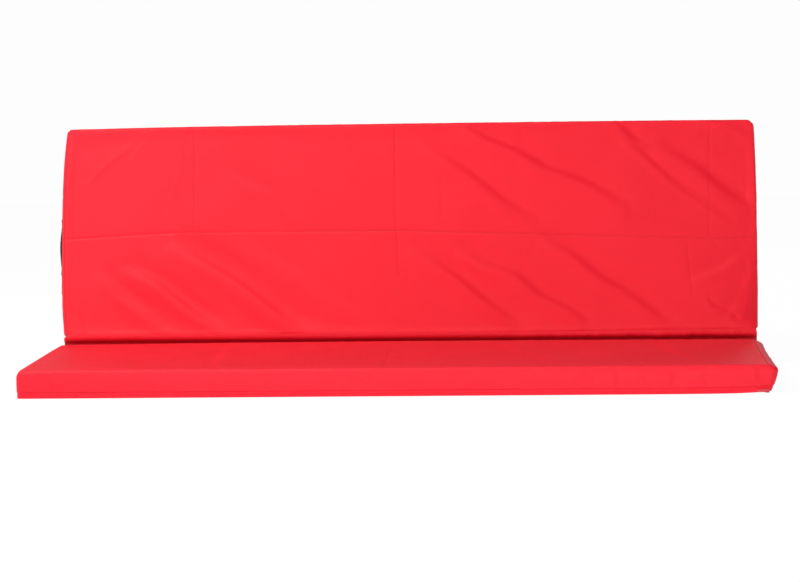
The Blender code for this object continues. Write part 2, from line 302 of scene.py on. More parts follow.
def make_floor():
    mesh = bpy.data.meshes.new("floor")
    corners = [(FLOOR_HALF * x, FLOOR_HALF * y, 0) for x, y in ((-1, -1), (1, -1), (1, 1), (-1, 1))]
    mesh.from_pydata(corners, [], [(0, 1, 2, 3)])
    glow = {"Specular IOR Level": 0.0, "Emission Color": WHITE, "Emission Strength": FLOOR_GLOW}
    floor = add_object("floor", mesh, Nodes("floor").finish((0.06, 0.06, 0.06, 1), 0.9, None, glow))
    floor.location.z = FLOOR_HEIGHT


# Materials

DOT_PITCH = 0.0085  # of the anti-slip dots
# The darkest and the lightest colour of each
ZIP_REDS = ((0.84, 0.010, 0.026, 1), (0.94, 0.018, 0.036, 1))
THREAD_REDS = ((0.80, 0.004, 0.016, 1), (0.90, 0.006, 0.022, 1))
THREAD_BLACKS = ((0.014, 0.014, 0.015, 1), (0.05, 0.05, 0.052, 1))


class Nodes:
    """A new material, and short calls for building its node tree."""

    def __init__(self, name):
        self.material = bpy.data.materials.new(name)
        self.material.use_nodes = True
        self.tree = self.material.node_tree
        self.shader = self.tree.nodes["Principled BSDF"]

    def add(self, kind, settings=(), inputs=()):
        node = self.tree.nodes.new(kind)
        for key, value in dict(settings).items():
            setattr(node, key, value)
        for key, value in dict(inputs).items():
            self.feed(node.inputs[key], value)
        return node

    def feed(self, socket, value):
        if isinstance(value, bpy.types.NodeSocket):
            self.tree.links.new(value, socket)
        else:
            socket.default_value = value

    def finish(self, colour, roughness, normal, others=()):
        """Feeds the shader, with values for its other sockets by name, and gives the material."""
        self.feed(self.shader.inputs["Base Color"], colour)
        self.feed(self.shader.inputs["Roughness"], roughness)
        if normal is not None:
            self.feed(self.shader.inputs["Normal"], normal)
        for key, value in dict(others).items():
            self.feed(self.shader.inputs[key], value)
        return self.material

    def uv(self):
        return self.add("ShaderNodeTexCoord").outputs["UV"]

    def object_place(self):
        return self.add("ShaderNodeTexCoord").outputs["Object"]

    def attribute(self, name):
        return self.add("ShaderNodeAttribute", {"attribute_name": name}).outputs["Fac"]

    def math(self, operation, first, second=0.0, clamp=False):
        settings = {"operation": operation, "use_clamp": clamp}
        return self.add("ShaderNodeMath", settings, {0: first, 1: second}).outputs[0]

    def times(self, first, second, clamp=False):
        return self.math("MULTIPLY", first, second, clamp)

    def vector(self, operation, inputs):
        return self.add("ShaderNodeVectorMath", {"operation": operation}, inputs).outputs[0]

    def mapped(self, where, **inputs):
        return self.add("ShaderNodeMapping", (), {"Vector": where, **inputs}).outputs[0]

    def noise(self, where, scale, detail=3.0, roughness=0.5):
        inputs = {"Vector": where, "Scale": scale, "Detail": detail, "Roughness": roughness}
        return self.add("ShaderNodeTexNoise", (), inputs).outputs["Fac"]

    def ramp(self, value, low, high, to_low=0.0, to_high=1.0):
        inputs = {"Value": value, "From Min": low, "From Max": high}
        inputs.update({"To Min": to_low, "To Max": to_high})
        return self.add("ShaderNodeMapRange", {"clamp": True}, inputs).outputs["Result"]

    def mix(self, share, first, second):
        node = self.add("ShaderNodeMix", {"data_type": "RGBA"}, {0: share, 6: first, 7: second})
        return node.outputs[2]

    def waves(self, where, axis, pitch):
        """Bands across an axis, one every pitch metres."""
        settings = {"wave_type": "BANDS", "bands_direction": axis, "wave_profile": "SIN"}
        inputs = {"Vector": where, "Scale": math.pi / 10 / pitch}
        return self.add("ShaderNodeTexWave", settings, inputs).outputs["Fac"]

    def weave(self, where, pitch):
        """Threads over and under each other: a height from 0 to 1."""
        over_x = self.math("GREATER_THAN", self.waves(where, "X", 2 * pitch), 0.5)
        over_y = self.math("GREATER_THAN", self.waves(where, "Y", 2 * pitch), 0.5)
        crossed = self.math("ABSOLUTE", self.math("SUBTRACT", over_x, over_y))
        warp = self.times(self.waves(where, "X", pitch), crossed)
        weft = self.times(self.waves(where, "Y", pitch), self.math("SUBTRACT", 1.0, crossed))
        return self.math("ADD", warp, weft)

    def bump(self, height, distance, strength, normal=None):
        inputs = {"Height": height, "Distance": distance, "Strength": strength}
        if normal is not None:
            inputs["Normal"] = normal
        return self.add("ShaderNodeBump", (), inputs).outputs["Normal"]


def red_cloth_material():
    """Coated polyester: a fine weave under a satin coating, rubbed along its seams, with painted
    shade darkening its creases and the hinge strip's tucked fold.
    """
    nodes = Nodes("red_coated_cloth")
    place = nodes.uv()
    broad = nodes.noise(place, 2.3, 4.0, 0.55)
    mottle = nodes.noise(place, 60.0, 5.0, 0.6)
    slubs = nodes.noise(nodes.mapped(place, Scale=(4.0, 260.0, 1.0)), 1.0, 3.0, 0.6)
    worn = nodes.times(nodes.attribute("edge"), nodes.ramp(mottle, 0.40, 0.60, 0.15, 0.75))
    deep, bright = (0.78, 0.0020, 0.0160, 1), (0.85, 0.0040, 0.0210, 1)
    # dark is painted shade, mixed in wherever the crease value is set
    rubbed, dark = (0.93, 0.0130, 0.0290, 1), (0.30, 0.0006, 0.004, 1)
    colour = nodes.mix(nodes.ramp(broad, 0.3, 0.7), deep, bright)
    colour = nodes.mix(nodes.ramp(mottle, 0.35, 0.65, 0.0, 0.35), colour, bright)
    colour = nodes.mix(nodes.times(nodes.ramp(slubs, 0.45, 0.75), 0.25), colour, deep)
    colour = nodes.mix(nodes.times(worn, 0.5), colour, rubbed)
    # painted shade: darker along the packing creases and in the hinge strip's tucked fold
    colour = nodes.mix(nodes.times(nodes.attribute("crease"), 0.6), colour, dark)
    rough = nodes.math("ADD", nodes.ramp(mottle, 0.3, 0.7, 0.46, 0.56), nodes.times(worn, 0.12))
    slubbed = nodes.bump(slubs, 0.00008, 0.6, nodes.bump(broad, 0.0015, 0.5))
    woven = nodes.bump(nodes.weave(place, 0.0006), 0.00006, 0.8, slubbed)
    satin = {"Specular IOR Level": 0.30, "Sheen Weight": 0.05, "Sheen Roughness": 0.4}
    return nodes.finish(colour, rough, woven, satin)


def base_cloth_material():
    """Black coated cloth with rows of raised anti-slip dots, a little dusty."""
    nodes = Nodes("anti_slip_base")
    place = nodes.uv()
    scaled = nodes.vector("SCALE", {0: place, "Scale": 1 / DOT_PITCH})
    cell = nodes.vector("FRACTION", {0: scaled})
    centred = nodes.vector("SUBTRACT", {0: cell, 1: (0.5, 0.5, 0.0)})
    split = nodes.add("ShaderNodeSeparateXYZ", (), {"Vector": centred})
    x, y = split.outputs["X"], split.outputs["Y"]
    square = nodes.math("ADD", nodes.times(x, x), nodes.times(y, y))
    dot = nodes.ramp(nodes.math("SQRT", square), 0.20, 0.32, 1.0, 0.0)
    dust = nodes.ramp(nodes.noise(place, 14.0, 6.0, 0.65), 0.45, 0.75)
    powder = nodes.times(dust, nodes.ramp(nodes.noise(place, 180.0, 4.0, 0.6), 0.3, 0.7))
    cloth, rubber = (0.012, 0.012, 0.013, 1), (0.022, 0.022, 0.023, 1)
    grey = (0.060, 0.058, 0.055, 1)
    colour = nodes.mix(nodes.times(powder, 0.45), nodes.mix(dot, cloth, rubber), grey)
    rough = nodes.math("SUBTRACT", 0.78, nodes.times(dot, 0.22))
    rough = nodes.math("ADD", rough, powder, clamp=True)
    woven = nodes.bump(nodes.weave(place, 0.0009), 0.0001, 0.8)
    return nodes.finish(colour, rough, nodes.bump(dot, 0.0005, 1.0, woven))


def webbing_material():
    """Black polypropylene webbing: ribs under slanting flat yarns, with a hard sheen."""
    nodes = Nodes("black_webbing")
    place = nodes.uv()
    ribs = nodes.waves(place, "Y", 0.0011)
    yarns = nodes.waves(nodes.mapped(place, Rotation=(0, 0, 0.9)), "X", 0.0013)
    fuzz = nodes.noise(place, 900.0, 4.0, 0.7)
    wear = nodes.noise(place, 45.0, 4.0, 0.6)
    height = nodes.math("ADD", nodes.times(ribs, 0.6), yarns)
    dark, light = (0.008, 0.008, 0.009, 1), (0.030, 0.030, 0.032, 1)
    colour = nodes.mix(nodes.times(height, 0.6, clamp=True), dark, light)
    rubbed = nodes.times(nodes.ramp(wear, 0.55, 0.8), nodes.ramp(fuzz, 0.4, 0.7))
    colour = nodes.mix(nodes.times(rubbed, 0.5), colour, (0.07, 0.07, 0.072, 1))
    normal = nodes.bump(height, 0.00025, 0.9, nodes.bump(fuzz, 0.0001, 0.5))
    rough = nodes.ramp(fuzz, 0.3, 0.7, 0.45, 0.75)
    return nodes.finish(colour, rough, normal, {"Sheen Weight": 0.15})


def zip_tape_material():
    """Woven red tape with ribs along its length."""
    nodes = Nodes("zip_tape")
    place = nodes.uv()
    stain = nodes.noise(place, 40.0, 4.0, 0.6)
    weave = nodes.weave(place, 0.0004)
    height = nodes.math("ADD", nodes.times(weave, 0.5), nodes.waves(place, "Y", 0.0009))
    colour = nodes.mix(nodes.times(height, 0.7, clamp=True), *ZIP_REDS)
    colour = nodes.mix(nodes.ramp(stain, 0.5, 0.8, 0.0, 0.4), colour, ZIP_REDS[0])
    rough = nodes.ramp(stain, 0.3, 0.7, 0.65, 0.85)
    normal = nodes.bump(height, 0.00012, 0.9)
    return nodes.finish(colour, rough, normal, {"Specular IOR Level": 0.2})


def moulded_material(name, dark, light, smoothest, roughest):
    """Moulded nylon or spun thread: one colour with slight variation and a fine grain."""
    nodes = Nodes(name)
    place = nodes.object_place()
    tone = nodes.noise(place, 120.0, 3.0, 0.6)
    normal = nodes.bump(nodes.noise(place, 2500.0, 4.0, 0.6), 0.00003, 0.7)
    colour = nodes.mix(nodes.ramp(tone, 0.3, 0.7), dark, light)
    rough = nodes.ramp(tone, 0.3, 0.7, smoothest, roughest)
    return nodes.finish(colour, rough, normal, {"Specular IOR Level": 0.2})


def enamel_material():
    """Red enamel on die-cast metal, worn through to the metal in small chips."""
    nodes = Nodes("zip_enamel")
    place = nodes.object_place()
    chips = nodes.ramp(nodes.noise(place, 700.0, 5.0, 0.65), 0.66, 0.70)
    tone = nodes.noise(place, 90.0, 3.0, 0.5)
    dark, light = (0.50, 0.006, 0.014, 1), (0.66, 0.010, 0.022, 1)
    colour = nodes.mix(nodes.ramp(tone, 0.3, 0.7), dark, light)
    colour = nodes.mix(chips, colour, (0.45, 0.44, 0.42, 1))
    rough = nodes.ramp(tone, 0.3, 0.7, 0.30, 0.42)
    normal = nodes.bump(nodes.noise(place, 1500.0, 2.0, 0.5), 0.00003, 0.6)
    coat = {"Metallic": chips, "Coat Weight": 0.3, "Coat Roughness": 0.15}
    return nodes.finish(colour, rough, normal, coat)


def foam_material():
    """Open-cell foam: grey cells with darker pores."""
    nodes = Nodes("landing_foam")
    place = nodes.object_place()
    voronoi = nodes.add("ShaderNodeTexVoronoi", (), {"Vector": place, "Scale": 600.0})
    cells = voronoi.outputs["Distance"]
    tone = nodes.noise(place, 12.0, 4.0, 0.6)
    dark, light = (0.10, 0.105, 0.11, 1), (0.36, 0.37, 0.39, 1)
    colour = nodes.mix(nodes.ramp(cells, 0.15, 0.55), dark, light)
    colour = nodes.mix(nodes.ramp(tone, 0.3, 0.7, 0.0, 0.3), colour, (0.40, 0.39, 0.34, 1))
    return nodes.finish(colour, 0.95, nodes.bump(cells, 0.0006, 0.9))


# The outline that all cover pieces of a panel follow


class Panel:
    def __init__(self, name, is_raised, turn):
        self.name = name
        self.body = f"{name}_panel"
        self.core = f"{name}_foam_block"
        self.is_raised = is_raised
        self.way = 1 if is_raised else -1  # the way its depth runs along Y in the opened-out mat
        self.turn = turn
        self.sides = SIDES[name]

    def lift(self, points):
        """How much higher the panel stands here than a flat block, and lower at a slack corner."""
        across = np.clip(points[..., 1] / DEPTH, 0, 1)
        near, far = FULLNESS[self.name]
        along = 1 - 0.6 * (points[..., 0] / END) ** 2
        lift = (near * (1 - across) + far * across) * along
        at_hinge = 1 - np.exp(-((points[..., 1] / HELD_BY_STRIP) ** 2))
        for slump in SLUMPS[self.name]:
            to_end = np.clip(END - slump.end * points[..., 0], 0, None)
            share = slump.near * (1 - across) ** slump.power + slump.far * across**slump.power
            lift = lift - share * at_hinge * np.exp(-to_end / slump.reach)
        over = np.clip(points[..., 2] / SEAM, 0, 1.1)
        to_right = np.clip(END - points[..., 0], 0, None)
        curl = CURL[self.name] * np.exp(-to_right / CURL_REACH)
        return lift * over**2 + curl * np.clip(1 - over, 0, 1)

    def world(self, points):
        """Panel coordinates to the frame of the CAD."""
        y = self.way * (HALF_GAP + points[..., 1])
        z = points[..., 2] + self.lift(points) - HINGE.z
        cos_turn, sin_turn = math.cos(self.turn), math.sin(self.turn)
        raised_y = HINGE.y + y * cos_turn - z * sin_turn
        raised_z = HINGE.z + y * sin_turn + z * cos_turn
        return np.stack([points[..., 0], raised_y, raised_z], axis=-1)

    def place(self, x, depth, height):
        return self.world(np.stack(np.broadcast_arrays(x, depth, height), axis=-1))

    def inset(self, side, height):
        """How far a side lies inside the CAD plane at this height."""
        shape = self.sides[side]
        widest = SEAM - shape.drop
        up = np.clip((height - widest) / shape.drop, 0, 1)
        down = np.clip(1 - height / widest, 0, 1)
        above = (shape.seam + shape.bulge) * up**SHOULDER_POWER
        below = (shape.bottom + shape.bulge) * down**SKIRT_POWER
        return above + below - shape.bulge

    def pull(self, side, share):
        """How far a side is pulled in at its corners, with share from -1 to 1 along it."""
        shape = self.sides[side]
        towards = np.where(share < 0, shape.first_pull, shape.last_pull)
        return towards * np.abs(share) ** PULL_POWER

    def rounded(self, a, b):
        """The square of shares with its corners rounded."""
        new_a, new_b = np.array(a, float), np.array(b, float)
        for (sign_a, sign_b), radius in CORNER_RADIUS[self.name].items():
            part_a, part_b = radius / HALF[0], radius / HALF[1]
            p = (sign_a * a - (1 - part_a)) / part_a
            q = (sign_b * b - (1 - part_b)) / part_b
            inside = (p > 0) & (q > 0)
            round_p = p * np.sqrt(np.clip(1 - q * q / 2, 0, 1))
            round_q = q * np.sqrt(np.clip(1 - p * p / 2, 0, 1))
            new_a = np.where(inside, sign_a * (1 - part_a + part_a * round_p), new_a)
            new_b = np.where(inside, sign_b * (1 - part_b + part_b * round_q), new_b)
        return new_a, new_b

    def plan(self, a, b, height):
        """The x and depth of the shares (a, b) at this height."""
        a, b = self.rounded(a, b)
        left = -(END - self.inset("left", height) - self.pull("left", b))
        right = END - self.inset("right", height) - self.pull("right", b)
        hinge = self.inset("hinge", height) + self.pull("hinge", a)
        far = DEPTH - self.inset("far", height) - self.pull("far", a)
        x = left + (right - left) * (a + 1) / 2
        depth = hinge + (far - hinge) * (b + 1) / 2
        return x, depth

    def wall(self, a, b, heights):
        """A strip along these shares (a, b): grids of both, and of its points in the panel."""
        grid_a, grid_h = grid_of(a, heights)
        grid_b, _ = grid_of(b, heights)
        x, depth = self.plan(grid_a, grid_b, grid_h)
        return grid_a, grid_b, np.stack([x, depth, grid_h], axis=-1)


LOOPS = {  # each border's run along the edge of the square of shares, seen from the landing face
    "far": ((1, 1), (-1, 1)),
    "left": ((-1, 1), (-1, -1)),
    "hinge": ((-1, -1), (1, -1)),
    "right": ((1, -1), (1, 1)),
}
ENDS = ("left", "right")
NEAR_CORNER = 0.02  # how far from a corner a side has closer points
RIM_POINTS = 9


def grid_of(first, second):
    """A grid of each of two axes, with the first axis down its rows."""
    return np.meshgrid(first, second, indexing="ij")


def half_length(piece):
    return HALF[1] if piece in ENDS else HALF[0]


def along_side(piece):
    """Shares (a, b) along one side of the square, with closer points at both corners."""
    half = half_length(piece)
    start, end = LOOPS[piece]
    near = NEAR_CORNER / half
    corner = np.linspace(0, near, RIM_POINTS)
    middle = np.linspace(near, 2 - near, round(2 * half / GRID))
    t = np.unique(np.concatenate([corner, middle, 2 - corner])) / 2
    return [start[k] + (end[k] - start[k]) * t for k in (0, 1)]


def spaced_shares(half, spacing, edge, fine_spots=()):
    """Shares from -1 to 1: evenly spaced, closer near both edges and in the fine spots.

    A fine spot is the lowest and highest place, from -half to half."""
    places = list(np.linspace(-half, half, round(2 * half / spacing) + 1))
    places = [p for p in places if abs(p) < half - edge]
    for low, high in fine_spots:
        places = [p for p in places if not low <= p <= high]
        places += list(np.arange(low, high, FINE))
    rim = half - edge * (1 - np.linspace(0, 1, RIM_POINTS)) ** 1.6
    places += list(rim) + list(-rim)
    return np.array(sorted(set(np.round(places, 5)))) / half


def spaced_grid(spacing, edge_a, edge_b):
    a = spaced_shares(HALF[0], spacing, edge_a)
    return grid_of(a, spaced_shares(HALF[1], spacing, edge_b))


def smooth(share):
    """Eases from 0 to 1 as the share does, and stays there past both ends."""
    share = np.clip(share, 0, 1)
    return share * share * (3 - 2 * share)


def distance_to_line(x, y, start, end):
    """The share along a line and the signed distance from it, to its left."""
    start, end = np.array(start), np.array(end)
    way = end - start
    length = np.linalg.norm(way)
    way = way / length
    from_x, from_y = x - start[0], y - start[1]
    along = (from_x * way[0] + from_y * way[1]) / length
    return along, way[0] * from_y - way[1] * from_x


def fold_height(x, y, folds):
    """The height of all these folds over a surface."""
    total = np.zeros_like(x)
    for fold in folds:
        along, off = distance_to_line(x, y, fold.start, fold.end)
        wander = 0.004 * np.sin(along * 7 + fold.start[0] * 40)
        d = (off + wander) / fold.width
        taper = np.sin(math.pi * np.clip((along + 0.10) / 1.20, 0, 1)) ** 0.7
        across = -d * np.exp(0.5 - 0.5 * d * d) if fold.kind == "step" else np.exp(-0.5 * d * d)
        total += FOLD_STRENGTH * fold.height * taper * across
    return FOLD_LIMIT * np.tanh(total / FOLD_LIMIT)


def crease_depth(x, y, creases):
    """How deep the sharp creases are here, and how near this is to one, from 0 to about 1."""
    depth, near = np.zeros_like(x), np.zeros_like(x)
    for crease in creases:
        for start, end in zip(crease.points, crease.points[1:]):
            along, off = distance_to_line(x, y, start, end)
            valley = np.exp(-np.abs(off) / CREASE_WIDTH) * ((along >= 0) & (along <= 1))
            depth = np.maximum(depth, CREASE_STRENGTH * crease.depth * valley)
            near = np.maximum(near, crease.depth / DARKEST_CREASE * valley**2)
    return depth, near


def ripple(points, size, seed):
    """Smooth noise from about -1 to 1, over features of this size, at each point."""
    flat_points = points.reshape(-1, points.shape[-1]) / size
    values = [noise.noise(Vector((p[0], p[1], seed))) for p in flat_points]
    return np.array(values).reshape(points.shape[:-1])


def outward(points):
    """Unit normals of a grid of points: outwards, for a grid of (place along, height)."""
    normal = np.cross(np.gradient(points, axis=0), np.gradient(points, axis=1))
    return normal / np.linalg.norm(normal, axis=-1, keepdims=True)


def seam_wear(distance):
    """1 on a seam, falling to 0 a little way from it."""
    return np.exp(-distance / WEAR_REACH)


def roll_off(a, b, rolls=LANDING_ROLLS):
    """0 on the landing seam and 1 on the flat of the face."""
    to_end = np.clip((1 - np.abs(a)) * HALF[0] / rolls[0], 0, 1)
    to_side = np.clip((1 - np.abs(b)) * HALF[1] / rolls[1], 0, 1)
    return (1 - (1 - to_end) ** 2) * (1 - (1 - to_side) ** 2)


def crown(panel, a, b):
    """How far the face is arched up between its seams."""
    return CROWN[panel.name] * (1 - np.abs(a) ** CROWN_POWER) * (1 - b**8)


def seam_gather(points, distance, seed):
    """Small puckers that die away from a seam, as the thread draws the cloth in."""
    fade = np.exp(-distance / 0.012) * np.clip(distance / 0.002, 0, 1)
    return 0.0007 * fade * ripple(points, 0.016, seed)


def seam_strength(a):
    """How strongly the raised hinge seam is puckered: most of it right of the middle."""
    strength = 0.12 + 0.88 * smooth((a - 0.10) / 0.45) * smooth((1.0 - a) / 0.10)
    return strength * smooth((1 - np.abs(a)) / 0.02)


# Meshes


def add_object(name, mesh, material):
    obj = bpy.data.objects.new(name, mesh)
    scene.collection.objects.link(obj)
    mesh.materials.append(material)
    return obj


def add_shape(name, shape, material):
    """A smooth object from a bmesh, with its faces turned outwards."""
    bmesh.ops.recalc_face_normals(shape, faces=shape.faces)
    mesh = bpy.data.meshes.new(name)
    shape.to_mesh(mesh)
    shape.free()
    mesh.shade_smooth()
    return add_object(name, mesh, material)


def surface(name, points, uv, material, flip=False, skip=None, **attributes):
    """A smooth mesh over a grid of points, with a UV in metres and values for its material."""
    rows, columns = points.shape[:2]
    index = np.arange(rows * columns).reshape(rows, columns)
    quads = np.stack([index[:-1, :-1], index[1:, :-1], index[1:, 1:], index[:-1, 1:]], axis=-1)
    quads = quads.reshape(-1, 4)
    if skip is not None:
        quads = quads[~skip.reshape(-1)]
    if flip:
        quads = quads[:, ::-1]
    mesh = bpy.data.meshes.new(name)
    mesh.from_pydata(points.reshape(-1, 3).tolist(), [], quads.tolist())
    layer = mesh.uv_layers.new(name="metres")
    layer.data.foreach_set("uv", uv.reshape(-1, 2)[quads.reshape(-1)].reshape(-1))
    for key in ("edge", "crease"):
        values = attributes.get(key, np.zeros((rows, columns)))
        made = mesh.attributes.new(key, "FLOAT", "POINT")
        made.data.foreach_set("value", values.reshape(-1).astype(np.float32))
    if skip is not None:
        drop_loose_points(mesh)
    mesh.shade_smooth()
    return add_object(name, mesh, material)


def drop_loose_points(mesh):
    shape = bmesh.new()
    shape.from_mesh(mesh)
    loose = [vert for vert in shape.verts if not vert.link_faces]
    bmesh.ops.delete(shape, geom=loose, context="VERTS")
    shape.to_mesh(mesh)
    shape.free()


def thicken(obj, thickness, offset=-1.0):
    """Gives a sheet its thickness, inwards from its outer face unless it has another offset."""
    solid = obj.modifiers.new("cloth thickness", "SOLIDIFY")
    solid.thickness = thickness
    solid.offset = offset
    solid.use_even_offset = False


def belong(obj, body, slot, *nodes):
    if nodes:
        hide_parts(*nodes)
    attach(obj, body)


# The covers

SETTLE_GRID = (150, 48)
SETTLE_FRAMES = 30
SETTLE_LIMITS = (-0.0025, 0.0015)
CLOTH_SLACK = 0.0006
FOAM_PUSH = 0.05
FOLD_CALM = 0.008  # how far from the hinge seam the folds have their full height
SEAM_GROOVE = 0.0014
GROOVE_WIDTH = 0.005
WAVES_HEIGHT = 0.0010
# how strongly the packing creases are painted darker, as painted shade
CREASE_PAINTED_SHADE = 0.45
BORDER_ROWS = 22
FOAM_CLEAR = 0.0030
FOAM_SINK = 0.0105  # of the foam's top edge below the landing seam, clear of the deepest folds
FOAM_ROUNDING = 0.0010
BORDER_PUSH = 0.0014  # how far the foam pushes a border out at its middle
BORDER_DIP = -0.0014  # the furthest in that folds can take it
CORNER_TUCK = 0.0010  # how far in it is drawn at the seam down a corner
CORNER_CALM = 0.012  # how far from a corner a border has its full push
HANDLE_CALM = 0.03  # the same from the handle


def settle_cloth(panel, folds):
    """How far a slack landing cloth, held at its seams, moves off its made shape over the foam.

    A coarse copy of the cloth is simulated. Its height changes come back as two axes of shares
    and a grid of heights."""
    a, b = (np.linspace(-1, 1, count) for count in SETTLE_GRID)
    grid_a, grid_b = grid_of(a, b)
    x, depth = panel.plan(grid_a, grid_b, SEAM)
    points = panel.place(x, depth, THICKNESS + fold_height(x, depth, folds))
    plane = np.stack([x, depth], axis=-1)
    name = f"{panel.name}_settling"
    cloth = surface(name, points, plane, red_cloth, flip=not panel.is_raised)
    held = cloth.vertex_groups.new(name="seam")
    rim = (np.abs(grid_a) == 1) | (np.abs(grid_b) == 1)
    held.add(np.flatnonzero(rim.reshape(-1)).tolist(), 1.0, "REPLACE")
    settling = cloth.modifiers.new("settling", "CLOTH")
    settling.settings.quality = 6
    settling.settings.mass = 0.1
    settling.settings.tension_stiffness = 25
    settling.settings.compression_stiffness = 25
    settling.settings.shear_stiffness = 8
    settling.settings.bending_stiffness = 0.1
    settling.settings.shrink_min = -CLOTH_SLACK
    settling.settings.vertex_group_mass = "seam"
    settling.settings.use_pressure = True
    settling.settings.uniform_pressure_force = FOAM_PUSH
    settling.collision_settings.use_collision = False
    settling.point_cache.frame_end = SETTLE_FRAMES
    for frame_number in range(1, SETTLE_FRAMES + 1):
        scene.frame_set(frame_number)
    made = cloth.evaluated_get(bpy.context.evaluated_depsgraph_get()).data
    moved = np.empty(len(made.vertices) * 3, np.float32)
    made.vertices.foreach_get("co", moved)
    scene.frame_set(1)
    bpy.data.objects.remove(cloth)
    out = outward(points)
    off = ((moved.reshape(points.shape) - points) * out).sum(axis=-1)
    face_up = np.array([0, -math.sin(panel.turn), math.cos(panel.turn)])
    off *= -1 if (out * face_up).sum() < 0 else 1
    return a, b, np.clip(off, *SETTLE_LIMITS)


def between(axes, heights, a, b):
    """Heights on a coarse grid of shares, read at these finer shares."""
    along = np.stack([np.interp(a, axes[0], column) for column in heights.T], axis=1)
    return np.stack([np.interp(b, axes[1], row) for row in along])


def make_landing(panel, folds, creases, fine_x, fine_depth=()):
    """The top of the cover, from seam to seam."""
    a = spaced_shares(HALF[0], GRID, 0.026, fine_x)
    b = spaced_shares(HALF[1], GRID, 0.014, fine_depth)
    grid_a, grid_b = grid_of(a, b)
    x, depth = panel.plan(grid_a, grid_b, SEAM)
    plane = np.stack([x, depth], axis=-1)
    from_fold = (grid_b + 1) * HALF[1]
    to_seam = np.minimum((1 - np.abs(grid_a)) * HALF[0], (1 - np.abs(grid_b)) * HALF[1])
    sharp, near = crease_depth(x, depth, creases)
    fade = roll_off(grid_a, grid_b)
    gather = seam_gather(plane, to_seam, 5.0)
    groove = 0
    if panel.is_raised:
        # its hinge seam is not rolled down, and is puckered and grooved instead
        fade = np.where(grid_b < 0, roll_off(grid_a, 0), fade)
        gather *= np.where(grid_b < -0.8, seam_strength(grid_a), 1.0)
        groove = SEAM_GROOVE * seam_strength(grid_a) * np.exp(-from_fold / GROOVE_WIDTH)
    calm = fade * (1 - np.exp(-from_fold / FOLD_CALM))
    height = SEAM + SEAM_DROP * fade + crown(panel, grid_a, grid_b)
    height += calm * (fold_height(x, depth, folds) - sharp)
    height += calm * WAVES_HEIGHT * ripple(plane, 0.11, 3.0)
    *axes, settled = settle_cloth(panel, folds)
    height += calm * between(axes, settled, a, b)
    height += gather - groove
    name = f"{panel.name}_landing_cloth"
    points = panel.place(x, depth, height)
    # edge gives the seam wear; crease gives painted shade along the packing creases
    colour = {"edge": seam_wear(to_seam), "crease": CREASE_PAINTED_SHADE * near * fade}
    obj = surface(name, points, plane, red_cloth, not panel.is_raised, **colour)
    thicken(obj, CLOTH)
    belong(obj, panel.body, "cover_red", f"{panel.name}_landing_sheet")


def make_base(panel):
    """The anti-slip bottom of the cover. The raised one sags a little between its edges."""
    grid_a, grid_b = spaced_grid(0.02, 0.012, 0.012)
    x, depth = panel.plan(grid_a * 0.9985, grid_b * 0.988, BASE)
    plane = np.stack([x, depth], axis=-1)
    height = np.zeros_like(x)
    if panel.is_raised:
        height = -0.0014 * (1 - grid_a**2) * (1 - grid_b**2)
        height += 0.0008 * ripple(plane, 0.15, 9.0) * (1 - grid_a**6) * (1 - grid_b**6)
    name = f"{panel.name}_base_cloth"
    obj = surface(name, panel.place(x, depth, height), plane, base_cloth, panel.is_raised)
    thicken(obj, BASE - FIT)
    belong(obj, panel.body, "base_black", f"{panel.name}_base_sheet")


def border_heights(low):
    """Heights of a border's rows, closer at its top and bottom, with one just over the zip."""
    rise = np.linspace(0, 1, BORDER_ROWS)
    eased = 0.5 - 0.5 * np.cos(math.pi * rise)
    rows = low + (SEAM - 0.0002 - low) * (0.45 * rise + 0.55 * eased)
    return np.unique(np.round(np.append(rows, OVER_ZIP), 6))


def make_border(panel, piece, folds=()):
    """One side strip of the cover, from the landing seam down to the base or to the zip."""
    is_end = piece in ENDS
    half = half_length(piece)
    low = OVER_ZIP if piece == "far" else OVER_BASE
    a, b = along_side(piece)
    notch = 1 - ZIP_REACH / HALF[1]
    if is_end:
        b[np.abs(b - notch).argmin()] = notch
    grid_a, grid_b, points = panel.wall(a, b, border_heights(low))
    depth, height = points[..., 1], points[..., 2]
    along = depth if is_end else points[..., 0]
    plane = np.stack([along, height], axis=-1)
    from_corner = (1 - np.abs(grid_b if is_end else grid_a)) * half
    to_seam = SEAM - height
    middle = np.clip(to_seam * (height - low) / ((SEAM - low) / 2) ** 2, 0, 1)
    at_corner = np.clip(from_corner / CORNER_CALM, 0, 1)
    push = BORDER_PUSH + 0.0007 * ripple(plane * (1, 0.5), 0.045, 11.0 + half)
    if piece == "left":
        past_handle = np.abs(depth - HANDLE_DEPTH) - TAB_END
        push *= 0.2 + 0.8 * smooth(past_handle / HANDLE_CALM)
    push += 0.0005 * ripple(plane * (1, 0.12), 0.022, 31.0 + half)
    push *= middle * at_corner
    push += fold_height(along, height, folds) * np.clip(middle * 3, 0, 1) * at_corner
    push = np.maximum(push, BORDER_DIP)
    push += seam_gather(plane, to_seam, 13.0) * at_corner
    push -= CORNER_TUCK * np.exp(-from_corner / 0.0016)
    points = panel.world(points + outward(points) * push[..., None])
    skip = None
    if is_end:
        # the notch for the leg of the zip
        middle_b = (grid_b[:-1, :-1] + grid_b[1:, 1:]) / 2
        middle_height = (height[:-1, :-1] + height[1:, 1:]) / 2
        skip = (middle_b > notch) & (middle_height < OVER_ZIP)
    wear = seam_wear(np.minimum(to_seam, from_corner))
    name = f"{panel.name}_{piece}_border"
    obj = surface(f"{name}_cloth", points, plane, red_cloth, panel.is_raised, skip, edge=wear)
    thicken(obj, CLOTH)
    belong(obj, panel.body, "cover_red", name)


